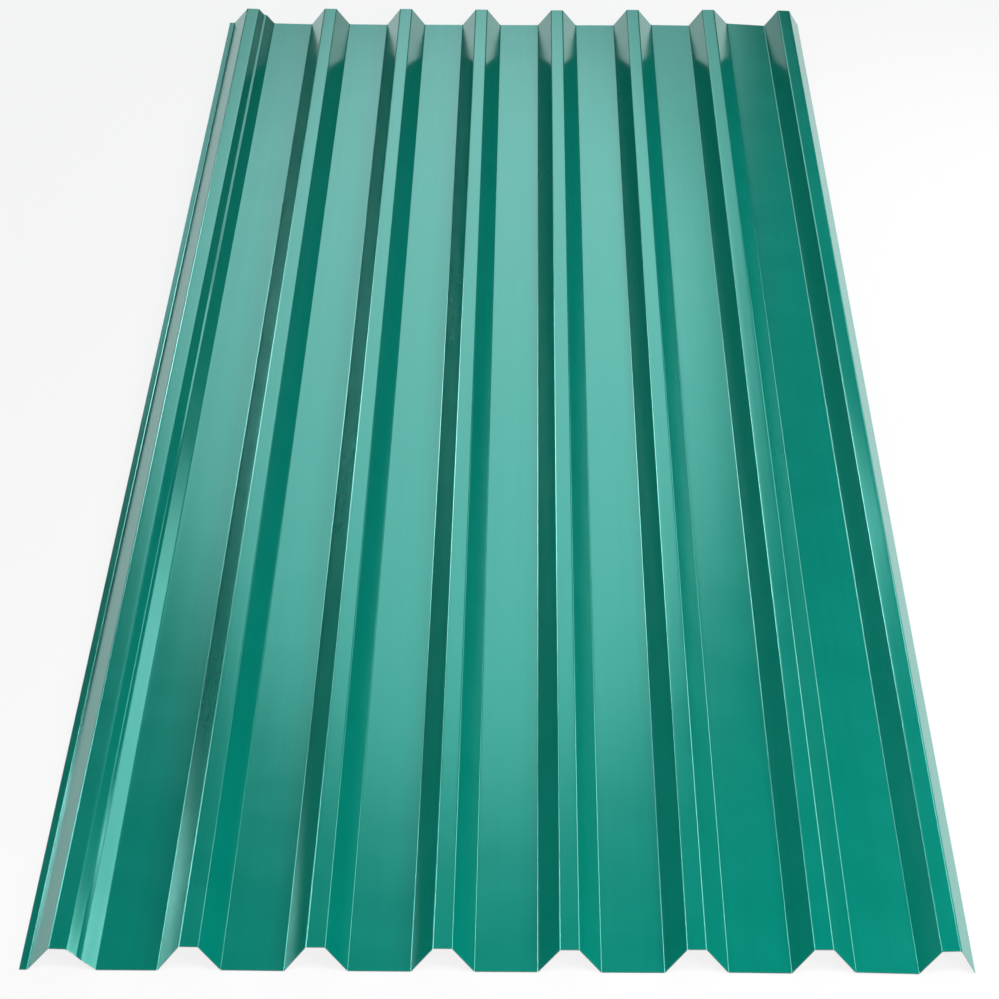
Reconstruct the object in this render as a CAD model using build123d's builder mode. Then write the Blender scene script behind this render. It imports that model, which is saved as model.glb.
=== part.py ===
from build123d import *
import os
from math import hypot

# A roofing sheet, roll-formed from one length of painted steel coil: flat pans between trapezoid ribs.
# X runs across the sheet, Y along it and Z up. The sheet lies on the undersides of its pans, and the
# origin is on that plane, under the middle of the sheet. Sizes are in millimetres.

# Coil
sheet_length = 2440.0
sheet_thickness = 0.45

# Ribs and the bends that form them, measured on the underside
rib_count = 8
rib_pitch = 108.0
rib_height = 24.0
crest_width = 15.0
flank_run = 19.5
bend_radius = 2.0

# Covering edge, at -X. Its rib goes over the last rib of the next sheet and its flange lies on that
# sheet's pan. The ledge along the rib's inner flank breaks the film of water between the two sheets.
flange_width = 7.0
ledge_width = 3.0
ledge_depth = 10.0
ledge_bend_radius = 1.2

# Covered edge, at +X. Its last flank is a steep leg, which ends above the pan inside a covering rib.
leg_run = 13.0
leg_drop = 22.5

pan_width = rib_pitch - crest_width - 2 * flank_run
ledge_flank_run = flank_run * ledge_depth / rib_height

# A stroke of the section: how far it runs across and up, and the inside radius of the bend at its end
flank_up = (flank_run, rib_height, bend_radius)
crest = (crest_width, 0, bend_radius)
flank_down = (flank_run, -rib_height, bend_radius)
pan = (pan_width, 0, bend_radius)

covering_rib = [
    (flange_width, 0, bend_radius),
    flank_up,
    crest,
    (ledge_flank_run, -ledge_depth, ledge_bend_radius),
    (ledge_width, 0, ledge_bend_radius),
    (flank_run - ledge_flank_run, ledge_depth - rib_height, bend_radius),
]
plain_rib = [flank_up, crest, flank_down]
covered_rib = [flank_up, crest, (leg_run, -leg_drop, 0)]

strokes = covering_rib + [pan]
for _ in range(rib_count - 2):
    strokes += plain_rib + [pan]
strokes += covered_rib

# The leg's outer face reaches past the end of its underside
leg_overhang = sheet_thickness * leg_drop / hypot(leg_run, leg_drop)
overall_width = sum(run for run, _, _ in strokes) + leg_overhang

underside = [Vector(-overall_width / 2, 0)]
for run, rise, _ in strokes:
    underside.append(underside[-1] + Vector(run, rise))

# A bend that turns up has its inside on top of the sheet, so its underside is one thickness larger
underside_radii = []
for (run, rise, radius), (next_run, next_rise, _) in zip(strokes, strokes[1:]):
    turns_up = run * next_rise > rise * next_run
    underside_radii.append(radius + sheet_thickness if turns_up else radius)

with BuildPart() as ribbed_sheet:
    with BuildSketch(Plane.XZ):
        with BuildLine():
            FilletPolyline(*underside, radius=underside_radii)
            offset(amount=sheet_thickness, side=Side.LEFT)
        make_face()
    extrude(amount=sheet_length / 2, both=True)

ribbed_sheet.part.label = "ribbed_sheet"
os.makedirs("parts", exist_ok=True)
export_step(ribbed_sheet.part, "parts/ribbed_sheet.step")
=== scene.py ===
from math import atan2, radians, tan

import bmesh
import bpy
import numpy as np
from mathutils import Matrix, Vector, noise


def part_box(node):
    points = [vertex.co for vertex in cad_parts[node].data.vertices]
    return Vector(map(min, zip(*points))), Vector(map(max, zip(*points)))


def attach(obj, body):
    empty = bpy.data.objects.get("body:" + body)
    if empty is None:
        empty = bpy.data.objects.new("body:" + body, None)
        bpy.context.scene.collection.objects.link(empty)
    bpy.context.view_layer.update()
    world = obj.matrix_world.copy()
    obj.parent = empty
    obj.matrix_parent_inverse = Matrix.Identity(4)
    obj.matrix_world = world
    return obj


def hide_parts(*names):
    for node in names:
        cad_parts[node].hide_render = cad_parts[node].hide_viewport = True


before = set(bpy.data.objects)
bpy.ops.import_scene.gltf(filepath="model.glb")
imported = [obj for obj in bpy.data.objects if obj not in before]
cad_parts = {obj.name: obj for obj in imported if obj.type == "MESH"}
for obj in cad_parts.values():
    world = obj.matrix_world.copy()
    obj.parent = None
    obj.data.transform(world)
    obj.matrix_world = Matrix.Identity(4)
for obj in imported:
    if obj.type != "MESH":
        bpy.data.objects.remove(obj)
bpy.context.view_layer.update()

# Sheet: one length of steel coil, galvanised and painted, roll-formed into flat pans between eight
# trapezoid ribs. Its section is walked stroke by stroke along the underside, drawn out to the sheet's
# length and rounded at every fold, and the coil's thickness then goes on top.
sheet_low, sheet_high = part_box("ribbed_sheet")
coil_thickness = 0.00045
rib_count = 8
rib_pitch = 0.108
rib_height = sheet_high.z - sheet_low.z - coil_thickness
crest_width = 0.015
flank_run = 0.0195
flange_width = 0.007
ledge_width = 0.003
ledge_depth = 0.010
leg_run = 0.013
leg_drop = 0.0225
pan_width = rib_pitch - crest_width - 2 * flank_run
ledge_flank_run = flank_run * ledge_depth / rib_height

# A stroke is its run across, its rise, its columns of faces and the underside's radius at its end
over_bend = 0.002
under_bend = over_bend + coil_thickness
ledge_over_bend = 0.0012
ledge_under_bend = ledge_over_bend + coil_thickness
flank_up = (flank_run, rib_height, 3, over_bend)
crest = (crest_width, 0, 3, over_bend)
flank_down = (flank_run, -rib_height, 3, under_bend)
pan = (pan_width, 0, 9, under_bend)
covering_rib = [
    (flange_width, 0, 2, under_bend),
    flank_up,
    crest,
    (ledge_flank_run, -ledge_depth, 2, ledge_under_bend),
    (ledge_width, 0, 1, ledge_over_bend),
    (flank_run - ledge_flank_run, ledge_depth - rib_height, 2, under_bend),
]
strokes = covering_rib + [pan]
for rib in range(rib_count - 2):
    strokes += [flank_up, crest, flank_down, pan]
strokes += [flank_up, crest, (leg_run, -leg_drop, 3, 0)]

shell = bmesh.new()
corner = bmesh.ops.create_vert(shell, co=(sheet_low.x, sheet_low.y, sheet_low.z))["vert"][0]
corner_places = [corner.co.x]
folds = []
for stroke, (run, rise, columns, radius) in enumerate(strokes):
    for column in range(columns):
        corner = bmesh.ops.extrude_vert_indiv(shell, verts=[corner])["verts"][0]
        bmesh.ops.translate(shell, verts=[corner], vec=(run / columns, 0, rise / columns))
    corner_places.append(corner.co.x)
    if stroke + 1 < len(strokes):
        next_run, next_rise = strokes[stroke + 1][:2]
        turn = abs(atan2(next_rise, next_run) - atan2(rise, run))
        folds.append((corner, radius * tan(turn / 2)))

drawn = bmesh.ops.extrude_edge_only(shell, edges=shell.edges[:])["geom"]
far_corners = [item for item in drawn if isinstance(item, bmesh.types.BMVert)]
sheet_length = sheet_high.y - sheet_low.y
bmesh.ops.translate(shell, verts=far_corners, vec=(0, sheet_length, 0))

fold_steps = 5
for setback in sorted({setback for _, setback in folds}):
    fold_lines = []
    for fold_corner, fold_setback in folds:
        if fold_setback == setback:
            for edge in fold_corner.link_edges:
                if edge.calc_length() > sheet_length / 2:
                    fold_lines.append(edge)
    bmesh.ops.bevel(
        shell,
        geom=fold_lines,
        offset=setback,
        offset_type="OFFSET",
        affect="EDGES",
        segments=fold_steps,
        profile=0.5,
        material=-1,
        clamp_overlap=False,
    )

rows = 100
long_edges = [edge for edge in shell.edges if edge.calc_length() > sheet_length / 2]
bmesh.ops.subdivide_edges(shell, edges=long_edges, cuts=rows - 1, use_grid_fill=True)

# Thin coil never lies quite true. The ribs differ a little in height, some pans lean, the crests are
# rolled slightly wide and the pans wave gently. The covering rib has been trodden on: its near end is
# spread, which flattens the ledge there, and its far end lifts.
crest_spread = 0.0005
foot_draw = 0.0002

# A row across the sheet holds its share of the length, the lift of every corner of the section, first
# the covering rib's seven and then four to a rib, and the covering rib's shifts sideways.
uneven_rows = []
lifts = [0, 0, -0.0026, -0.0031, -0.0004, -0.0039, 0]
lifts += [0, 0, -0.0002, 0.0005]
lifts += [0, 0, -0.0001, 0.0003]
lifts += [0.0001, -0.0007, -0.0007, 0.0002]
lifts += [0.0002, -0.0014, -0.0014, 0.0001]
lifts += [0.0001, -0.0004, -0.0005, 0.0007]
lifts += [0.0001, 0, 0, 0.0015]
lifts += [0.0001, -0.0011, -0.0007, 0]
uneven_rows.append((0.0, lifts, [0, foot_draw, -crest_spread, -0.0009, -0.0001, 0.0005, 0.0016]))
lifts = [0.0004, 0.0003, -0.0022, -0.0027, -0.0018, -0.0034, 0.0009]
lifts += [0, 0, -0.0002, 0.0005]
lifts += [0, 0, -0.0001, 0.0003]
lifts += [0.0001, -0.0007, -0.0007, 0.0002]
lifts += [0.0002, -0.0014, -0.0014, 0.0001]
lifts += [0.0001, -0.0004, -0.0005, 0.0007]
lifts += [0.0001, 0, 0, 0.0017]
lifts += [0.0001, -0.0013, -0.0005, 0]
uneven_rows.append((0.15, lifts, [0, foot_draw, -crest_spread, 0.0002, -0.0002, -0.0002, 0.0008]))
lifts = [0.0008, 0.0007, -0.0018, -0.0023, -0.0014, -0.0028, 0.0011]
lifts += [0.0001, 0, -0.0002, 0.0005]
lifts += [0, 0, -0.0001, 0.0003]
lifts += [0.0001, -0.0007, -0.0007, 0.0002]
lifts += [0.0002, -0.0014, -0.0014, 0.0001]
lifts += [0.0001, -0.0004, -0.0005, 0.0007]
lifts += [0.0001, 0, 0, 0.0020]
lifts += [0.0001, -0.0016, -0.0003, 0]
uneven_rows.append((0.33, lifts, [0, foot_draw, -crest_spread, crest_spread, -0.0003, -0.0003, 0.0006]))
lifts = [0.0015, 0.0013, -0.0011, -0.0016, -0.0004, -0.0003, 0.0013]
lifts += [0.0002, 0, -0.0002, 0.0006]
lifts += [0, 0, -0.0001, 0.0003]
lifts += [0.0001, -0.0007, -0.0007, 0.0001]
lifts += [0.0001, -0.0014, -0.0014, 0.0001]
lifts += [0.0001, -0.0004, -0.0005, 0.0008]
lifts += [0.0001, 0, 0, 0.0026]
lifts += [0.0001, -0.0008, -0.0013, 0]
uneven_rows.append((0.6, lifts, [0, foot_draw, -crest_spread, crest_spread, 0, 0, -foot_draw]))
lifts = [0.0024, 0.0022, -0.0002, -0.0007, 0.0004, 0.0005, 0.0016]
lifts += [0.0003, 0, -0.0002, 0.0006]
lifts += [0, 0, -0.0001, 0.0003]
lifts += [0.0001, -0.0007, -0.0007, 0.0001]
lifts += [0.0001, -0.0014, -0.0014, 0.0001]
lifts += [0.0001, -0.0004, -0.0005, 0.0009]
lifts += [0.0001, 0, 0, 0.0034]
lifts += [0.0001, -0.0006, -0.0014, 0]
uneven_rows.append((1.0, lifts, [0, foot_draw, -crest_spread, crest_spread, 0, 0, -foot_draw]))
plain_shifts = []
for rib in range(rib_count - 2):
    plain_shifts += [foot_draw, -crest_spread, crest_spread, -foot_draw]
plain_shifts += [foot_draw, -crest_spread, crest_spread, 0]
row_shares = [share for share, _, _ in uneven_rows]
pan_wave = 0.0002
waves_across = 9
waves_along = 2.2
wave_slice = 4.0
for vert in shell.verts:
    far_share = (vert.co.y - sheet_low.y) / sheet_length
    row_lifts = [np.interp(vert.co.x, corner_places, lifts) for _, lifts, _ in uneven_rows]
    row_shifts = [
        np.interp(vert.co.x, corner_places, covering_shifts + plain_shifts)
        for _, _, covering_shifts in uneven_rows
    ]
    low_part = max(0.0, 1 - vert.co.z / rib_height)
    wave_place = Vector((vert.co.x * waves_across, vert.co.y * waves_along, wave_slice))
    swell = 0.5 + 0.5 * noise.noise(wave_place)
    vert.co.z += np.interp(far_share, row_shares, row_lifts) + pan_wave * swell * low_part
    vert.co.x += np.interp(far_share, row_shares, row_shifts)

underside_faces = shell.faces[:]
thickened = bmesh.ops.solidify(shell, geom=underside_faces, thickness=coil_thickness)["geom"]
top_faces = {item for item in thickened if isinstance(item, bmesh.types.BMFace)}
underside_faces = set(underside_faces)
backing_slot = 1
cut_edge_slot = 2
for face in shell.faces:
    face.smooth = True
    if face in underside_faces:
        face.material_index = backing_slot
    elif face not in top_faces:
        face.material_index = cut_edge_slot

sheet_mesh = bpy.data.meshes.new("painted_sheet")
shell.to_mesh(sheet_mesh)
shell.free()
sharp_angle = radians(35)
sheet_mesh.set_sharp_from_angle(angle=sharp_angle)
painted_sheet = bpy.data.objects.new("painted_sheet", sheet_mesh)
bpy.context.scene.collection.objects.link(painted_sheet)
even_shading = painted_sheet.modifiers.new("even_shading", "WEIGHTED_NORMAL")
even_shading.keep_sharp = True

# Marks of the coil line, shared by both coats: lengthwise streaks, soft mottling and orange peel
coil_marks = bpy.data.node_groups.new("coil_marks", "ShaderNodeTree")
coil_marks.interface.new_socket("Place", in_out="INPUT", socket_type="NodeSocketVector")
coil_marks.interface.new_socket("Streaks", in_out="OUTPUT", socket_type="NodeSocketFloat")
coil_marks.interface.new_socket("Mottle", in_out="OUTPUT", socket_type="NodeSocketFloat")
coil_marks.interface.new_socket("Peel", in_out="OUTPUT", socket_type="NodeSocketFloat")
coil_in = coil_marks.nodes.new("NodeGroupInput")
coil_out = coil_marks.nodes.new("NodeGroupOutput")
coil_stretch = coil_marks.nodes.new("ShaderNodeMapping")
coil_stretch.inputs["Scale"].default_value = (140, 1.2, 140)
coil_marks.links.new(coil_in.outputs["Place"], coil_stretch.inputs["Vector"])
coil_streaks = coil_marks.nodes.new("ShaderNodeTexNoise")
coil_streaks.inputs["Scale"].default_value = 1.0
coil_streaks.inputs["Detail"].default_value = 4.0
coil_marks.links.new(coil_stretch.outputs["Vector"], coil_streaks.inputs["Vector"])
coil_marks.links.new(coil_streaks.outputs["Fac"], coil_out.inputs["Streaks"])
coil_mottle = coil_marks.nodes.new("ShaderNodeTexNoise")
coil_mottle.inputs["Scale"].default_value = 14.0
coil_mottle.inputs["Detail"].default_value = 5.0
coil_marks.links.new(coil_in.outputs["Place"], coil_mottle.inputs["Vector"])
coil_marks.links.new(coil_mottle.outputs["Fac"], coil_out.inputs["Mottle"])
coil_peel = coil_marks.nodes.new("ShaderNodeTexNoise")
coil_peel.inputs["Scale"].default_value = 700.0
coil_peel.inputs["Detail"].default_value = 2.0
coil_marks.links.new(coil_in.outputs["Place"], coil_peel.inputs["Vector"])
coil_marks.links.new(coil_peel.outputs["Fac"], coil_out.inputs["Peel"])

# Wear at the sheared ends and slit sides, shared by both coats: chips about a millimetre deep
edge_chips = bpy.data.node_groups.new("edge_chips", "ShaderNodeTree")
edge_chips.interface.new_socket("Place", in_out="INPUT", socket_type="NodeSocketVector")
edge_chips.interface.new_socket("Chipped", in_out="OUTPUT", socket_type="NodeSocketFloat")
chip_in = edge_chips.nodes.new("NodeGroupInput")
chip_out = edge_chips.nodes.new("NodeGroupOutput")
chip_place = edge_chips.nodes.new("ShaderNodeSeparateXYZ")
edge_chips.links.new(chip_in.outputs["Place"], chip_place.inputs["Vector"])
chip_reach = 0.0012
chip_sides = []
for axis, edge in (("X", sheet_high.x), ("Y", sheet_high.y)):
    chip_across = edge_chips.nodes.new("ShaderNodeMath")
    chip_across.operation = "ABSOLUTE"
    edge_chips.links.new(chip_place.outputs[axis], chip_across.inputs[0])
    chip_near = edge_chips.nodes.new("ShaderNodeMapRange")
    chip_near.inputs["From Min"].default_value = edge - chip_reach
    chip_near.inputs["From Max"].default_value = edge
    edge_chips.links.new(chip_across.outputs["Value"], chip_near.inputs["Value"])
    chip_sides.append(chip_near.outputs["Result"])
chip_nearest = edge_chips.nodes.new("ShaderNodeMath")
chip_nearest.operation = "MAXIMUM"
edge_chips.links.new(chip_sides[0], chip_nearest.inputs[0])
edge_chips.links.new(chip_sides[1], chip_nearest.inputs[1])
chip_grain = edge_chips.nodes.new("ShaderNodeTexNoise")
chip_grain.inputs["Scale"].default_value = 260.0
chip_grain.inputs["Detail"].default_value = 3.0
edge_chips.links.new(chip_in.outputs["Place"], chip_grain.inputs["Vector"])
chip_amount = edge_chips.nodes.new("ShaderNodeMath")
chip_amount.operation = "MULTIPLY"
edge_chips.links.new(chip_nearest.outputs["Value"], chip_amount.inputs[0])
edge_chips.links.new(chip_grain.outputs["Fac"], chip_amount.inputs[1])
chip_edge = edge_chips.nodes.new("ShaderNodeMapRange")
chip_edge.inputs["From Min"].default_value = 0.38
chip_edge.inputs["From Max"].default_value = 0.44
edge_chips.links.new(chip_amount.outputs["Value"], chip_edge.inputs["Value"])
edge_chips.links.new(chip_edge.outputs["Result"], chip_out.inputs["Chipped"])


# A coat takes its tones, gloss and orange peel from those marks, and bare zinc shows where it is chipped
zinc_tone = (0.52, 0.54, 0.54, 1)
zinc_metal_share = 0.9


def coat_material(name, dark_tone, light_tone, least_rough, most_rough, metal_share, peel_depth):
    coat = bpy.data.materials.new(name)
    coat.use_nodes = True
    nodes = coat.node_tree.nodes
    links = coat.node_tree.links
    shader = nodes["Principled BSDF"]
    place = nodes.new("ShaderNodeTexCoord")
    marks = nodes.new("ShaderNodeGroup")
    marks.node_tree = coil_marks
    links.new(place.outputs["Object"], marks.inputs["Place"])
    chips = nodes.new("ShaderNodeGroup")
    chips.node_tree = edge_chips
    links.new(place.outputs["Object"], chips.inputs["Place"])

    tone_share = nodes.new("ShaderNodeMath")
    tone_share.operation = "ADD"
    links.new(marks.outputs["Streaks"], tone_share.inputs[0])
    links.new(marks.outputs["Mottle"], tone_share.inputs[1])
    tones = nodes.new("ShaderNodeMapRange")
    tones.inputs["From Min"].default_value = 0.7
    tones.inputs["From Max"].default_value = 1.3
    links.new(tone_share.outputs["Value"], tones.inputs["Value"])
    colour = nodes.new("ShaderNodeMix")
    colour.data_type = "RGBA"
    colour.inputs["A"].default_value = (*dark_tone, 1)
    colour.inputs["B"].default_value = (*light_tone, 1)
    links.new(tones.outputs["Result"], colour.inputs["Factor"])
    bare = nodes.new("ShaderNodeMix")
    bare.data_type = "RGBA"
    bare.inputs["B"].default_value = zinc_tone
    links.new(chips.outputs["Chipped"], bare.inputs["Factor"])
    links.new(colour.outputs["Result"], bare.inputs["A"])
    links.new(bare.outputs["Result"], shader.inputs["Base Color"])

    roughness = nodes.new("ShaderNodeMapRange")
    roughness.inputs["From Min"].default_value = 0.3
    roughness.inputs["From Max"].default_value = 0.7
    roughness.inputs["To Min"].default_value = least_rough
    roughness.inputs["To Max"].default_value = most_rough
    links.new(marks.outputs["Mottle"], roughness.inputs["Value"])
    links.new(roughness.outputs["Result"], shader.inputs["Roughness"])
    metal = nodes.new("ShaderNodeMapRange")
    metal.inputs["To Min"].default_value = metal_share
    metal.inputs["To Max"].default_value = zinc_metal_share
    links.new(chips.outputs["Chipped"], metal.inputs["Value"])
    links.new(metal.outputs["Result"], shader.inputs["Metallic"])
    peel = nodes.new("ShaderNodeBump")
    peel.inputs["Strength"].default_value = 0.15
    peel.inputs["Distance"].default_value = peel_depth
    links.new(marks.outputs["Peel"], peel.inputs["Height"])
    links.new(peel.outputs["Normal"], shader.inputs["Normal"])
    return coat


# Green paint on the weather side
paint = coat_material(
    "green_paint",
    dark_tone=(0.0, 0.254, 0.190),
    light_tone=(0.0, 0.280, 0.210),
    least_rough=0.145,
    most_rough=0.175,
    metal_share=0.12,
    peel_depth=0.00001,
)
paint_shader = paint.node_tree.nodes["Principled BSDF"]
paint_shader.inputs["IOR"].default_value = 1.6
paint_shader.inputs["Specular Tint"].default_value = (0.0, 1.0, 0.95, 1)
sheet_mesh.materials.append(paint)

# Thin pale grey backing coat on the underside
backing = coat_material(
    "backing_coat",
    dark_tone=(0.44, 0.45, 0.42),
    light_tone=(0.53, 0.54, 0.51),
    least_rough=0.42,
    most_rough=0.55,
    metal_share=0.0,
    peel_depth=0.00005,
)
sheet_mesh.materials.append(backing)

# Bare steel between its two layers of zinc, where the coil was slit and sheared
cut_edge = bpy.data.materials.new("cut_edge")
cut_edge.use_nodes = True
cut_nodes = cut_edge.node_tree.nodes
cut_links = cut_edge.node_tree.links
cut_shader = cut_nodes["Principled BSDF"]
cut_shader.inputs["Metallic"].default_value = 1.0
cut_place = cut_nodes.new("ShaderNodeTexCoord")
cut_grain = cut_nodes.new("ShaderNodeTexNoise")
cut_grain.inputs["Scale"].default_value = 900.0
cut_grain.inputs["Detail"].default_value = 4.0
cut_links.new(cut_place.outputs["Object"], cut_grain.inputs["Vector"])
cut_tones = cut_nodes.new("ShaderNodeValToRGB")
cut_tones.color_ramp.elements[0].position = 0.35
cut_tones.color_ramp.elements[0].color = (0.24, 0.25, 0.25, 1)
cut_tones.color_ramp.elements[1].position = 0.65
cut_tones.color_ramp.elements[1].color = (0.46, 0.47, 0.48, 1)
cut_links.new(cut_grain.outputs["Fac"], cut_tones.inputs["Fac"])
cut_links.new(cut_tones.outputs["Color"], cut_shader.inputs["Base Color"])
cut_roughness = cut_nodes.new("ShaderNodeMapRange")
cut_roughness.inputs["To Min"].default_value = 0.35
cut_roughness.inputs["To Max"].default_value = 0.6
cut_links.new(cut_grain.outputs["Fac"], cut_roughness.inputs["Value"])
cut_links.new(cut_roughness.outputs["Result"], cut_shader.inputs["Roughness"])
cut_tear = cut_nodes.new("ShaderNodeBump")
cut_tear.inputs["Strength"].default_value = 0.3
cut_tear.inputs["Distance"].default_value = 0.00005
cut_links.new(cut_grain.outputs["Fac"], cut_tear.inputs["Height"])
cut_links.new(cut_tear.outputs["Normal"], cut_shader.inputs["Normal"])
sheet_mesh.materials.append(cut_edge)

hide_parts("ribbed_sheet")
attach(painted_sheet, "root")

# Floor: a wide pale matt surface under the sheet, reaching far enough to be the background from every
# side. The camera and the paint's gloss see it near white, with a faint shadow.
floor_radius = 150.0
floor_sides = 96
floor_shape = bmesh.new()
bmesh.ops.create_circle(floor_shape, cap_ends=True, radius=floor_radius, segments=floor_sides)
bmesh.ops.translate(floor_shape, verts=floor_shape.verts[:], vec=(0, 0, sheet_low.z))
floor_mesh = bpy.data.meshes.new("floor")
floor_shape.to_mesh(floor_mesh)
floor_shape.free()
floor = bpy.data.objects.new("floor", floor_mesh)
bpy.context.scene.collection.objects.link(floor)
pale = bpy.data.materials.new("pale_floor")
pale.use_nodes = True
pale_nodes = pale.node_tree.nodes
pale_links = pale.node_tree.links
pale_matt = pale_nodes["Principled BSDF"]
pale_matt.inputs["Base Color"].default_value = (0.9, 0.9, 0.9, 1)
pale_matt.inputs["Roughness"].default_value = 0.9
pale_matt.inputs["Specular IOR Level"].default_value = 0.0
pale_white = pale_nodes.new("ShaderNodeEmission")
pale_white.inputs["Strength"].default_value = 1.0
pale_rays = pale_nodes.new("ShaderNodeLightPath")
pale_seen = pale_nodes.new("ShaderNodeMath")
pale_seen.operation = "ADD"
pale_links.new(pale_rays.outputs["Is Camera Ray"], pale_seen.inputs[0])
pale_links.new(pale_rays.outputs["Is Glossy Ray"], pale_seen.inputs[1])
pale_seen_through = pale_nodes.new("ShaderNodeMath")
pale_seen_through.operation = "ADD"
pale_seen_through.use_clamp = True
pale_links.new(pale_seen.outputs["Value"], pale_seen_through.inputs[0])
pale_links.new(pale_rays.outputs["Is Transmission Ray"], pale_seen_through.inputs[1])
white_share = 0.85
pale_share = pale_nodes.new("ShaderNodeMath")
pale_share.operation = "MULTIPLY"
pale_share.inputs[1].default_value = white_share
pale_links.new(pale_seen_through.outputs["Value"], pale_share.inputs[0])
pale_mix = pale_nodes.new("ShaderNodeMixShader")
pale_links.new(pale_share.outputs["Value"], pale_mix.inputs["Fac"])
pale_links.new(pale_matt.outputs["BSDF"], pale_mix.inputs[1])
pale_links.new(pale_white.outputs["Emission"], pale_mix.inputs[2])
pale_links.new(pale_mix.outputs["Shader"], pale_nodes["Material Output"].inputs["Surface"])
floor_mesh.materials.append(pale)

# Light: a soft key at the front right, a soft lamp over the near end and two strips along the right
# side. Panels stand beyond the far end: the pans mirror the large ones, and the small ones at the sides
# draw the bends' bright lines and the sheen on the flanks.
energy_per_radiance = 4


def soft_lamp(name, shape, wide, high, place, aim, radiance, colour):
    lamp = bpy.data.lights.new(name, "AREA")
    lamp.shape = shape
    lamp.size = wide
    lamp.size_y = high
    lamp.energy = energy_per_radiance * radiance * wide * high
    lamp.color = colour
    stand = bpy.data.objects.new(name, lamp)
    stand.location = place
    stand.rotation_euler = (Vector(aim) - Vector(place)).to_track_quat("-Z", "Y").to_euler()
    stand.visible_camera = False
    bpy.context.scene.collection.objects.link(stand)
    return lamp


white = (1, 1, 1)
cool_white = (0.78, 1.0, 1.0)
soft_lamp("key_lamp", "RECTANGLE", 0.9, 0.6, (1.1, -2.4, 1.2), (0.2, -1.0, 0), 7.5, white)
soft_lamp("front_lamp", "RECTANGLE", 1.2, 0.6, (0.3, -1.7, 1.6), (0.3, -1.1, 0), 7.0, white)
soft_lamp("near_strip", "RECTANGLE", 0.9, 0.3, (0.85, -0.6, 0.7), (0.3, -0.6, 0), 2.9, white)
soft_lamp("far_strip", "RECTANGLE", 1.1, 0.3, (0.85, 0.5, 0.7), (0.3, 0.5, 0), 4.8, white)
far_panels = [
    soft_lamp("far_panel", "ELLIPSE", 1.45, 2.3, (-0.125, 5.0, 2.45), (-0.125, 0, 2.45), 1.3, cool_white),
    soft_lamp("far_low_panel", "RECTANGLE", 1.8, 0.9, (-0.2, 5.0, 1.5), (-0.2, 0, 1.5), 0.8, cool_white),
]
soft_lamp("side_panel", "RECTANGLE", 1.0, 0.8, (-1.8, 5.0, 1.9), (0, 0, 0), 9.5, cool_white)
soft_lamp("side_high_panel", "RECTANGLE", 0.8, 0.6, (-2.5, 4.0, 2.45), (-0.2, -0.9, 0), 13, cool_white)
soft_lamp("right_panel", "RECTANGLE", 0.65, 0.55, (1.7, 3.2, 0.95), (-0.3, -0.8, 0), 2.2, cool_white)
soft_lamp("low_panel", "RECTANGLE", 0.5, 0.5, (-3.4, 3.0, 0.7), (-0.3, -1.1, 0), 2.5, cool_white)
soft_lamp("low_strip", "RECTANGLE", 0.4, 0.6, (-2.8, 3.0, 0.95), (0.35, -1.1, 0), 6, cool_white)

# The sheet mirrors the large panels once, and not again from one flank to the next
once_depth = 2.5
for panel in far_panels:
    panel.use_nodes = True
    panel_nodes = panel.node_tree.nodes
    panel_links = panel.node_tree.links
    panel_rays = panel_nodes.new("ShaderNodeLightPath")
    panel_once = panel_nodes.new("ShaderNodeMath")
    panel_once.operation = "LESS_THAN"
    panel_once.inputs[1].default_value = once_depth
    panel_links.new(panel_rays.outputs["Ray Depth"], panel_once.inputs[0])
    panel_links.new(panel_once.outputs["Value"], panel_nodes["Emission"].inputs["Strength"])

room = bpy.data.worlds.new("room")
room.use_nodes = True
room.node_tree.nodes["Background"].inputs["Color"].default_value = (1, 1, 1, 1)
room.node_tree.nodes["Background"].inputs["Strength"].default_value = 0.03
bpy.context.scene.world = room
bpy.context.scene.view_settings.view_transform = "Standard"

# Camera: a long lens at eye height, looking down along the sheet from beyond its near end.
camera_place = Vector((0.0273, -3.9004, 1.7758))
camera_aim = Vector((-0.0060, -0.3128, 0))
focal_length = 135.1
camera_lens = bpy.data.cameras.new("camera")
camera_lens.lens = focal_length
camera = bpy.data.objects.new("camera", camera_lens)
camera.location = camera_place
camera.rotation_euler = (camera_aim - camera_place).to_track_quat("-Z", "Y").to_euler()
bpy.context.scene.collection.objects.link(camera)
bpy.context.scene.camera = camera
